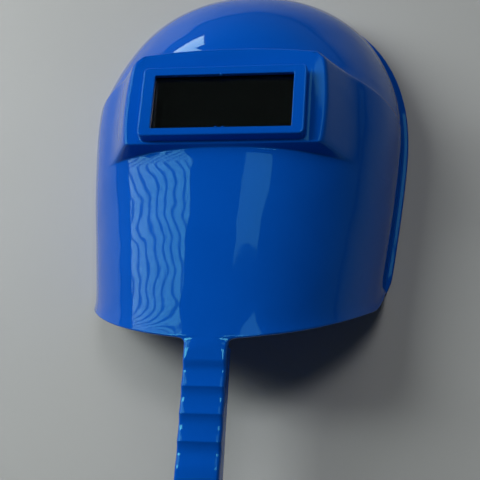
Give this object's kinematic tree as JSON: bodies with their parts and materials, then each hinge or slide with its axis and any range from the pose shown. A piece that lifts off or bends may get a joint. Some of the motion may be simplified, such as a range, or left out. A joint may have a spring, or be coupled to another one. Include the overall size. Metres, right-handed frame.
{
  "type": "hand-held welding face shield",
  "caption": "Moulded face shield with a domed top, a dark filter window in a raised frame, a hinged glass retainer inside and a ridged hand grip at the chin.",
  "frame": {"origin": "centre of the bounding box, on the plane the rim rests on", "axes": "+Z out of the window, away from the face; +Y from the handle to the dome; +X across the mask"},
  "size_m": [0.251, 0.4542, 0.122],
  "materials": {
    "blue_plastic": "glossy injection-moulded polypropylene, self-coloured blue",
    "clear_plastic": "clear polished spatter cover",
    "filter_glass": "polished dark welding filter glass",
    "black_plastic": "fine matt black moulding",
    "black_rubber": "smooth black rubber strip",
    "steel": "bright zinc-plated steel"
  },
  "bodies": {
    "mask": {"shell": "blue_plastic", "window_gasket": "black_rubber", "outer_cover_lens": "clear_plastic", "lens_spacer": "black_rubber", "filter_glass": "filter_glass", "inner_cover_lens": "clear_plastic", "hinge_pin": "steel", "hinge_clips": "steel", "latch_spring": "steel", "latch_washer": "steel", "latch_screw": "steel", "handle_back_cover": "blue_plastic", "handle_screws": "steel"},
    "retainer": {"retainer_frame": "black_plastic", "pressure_pads": "black_rubber"}
  },
  "joints": [
    {"name": "retainer_hinge", "type": "hinge", "parent": "mask", "child": "retainer", "pos_m": [0, 0.1076, 0.1045], "axis": [1, 0, 0], "range_deg": [0, 100], "deforming": ["latch_spring"]}
  ]
}
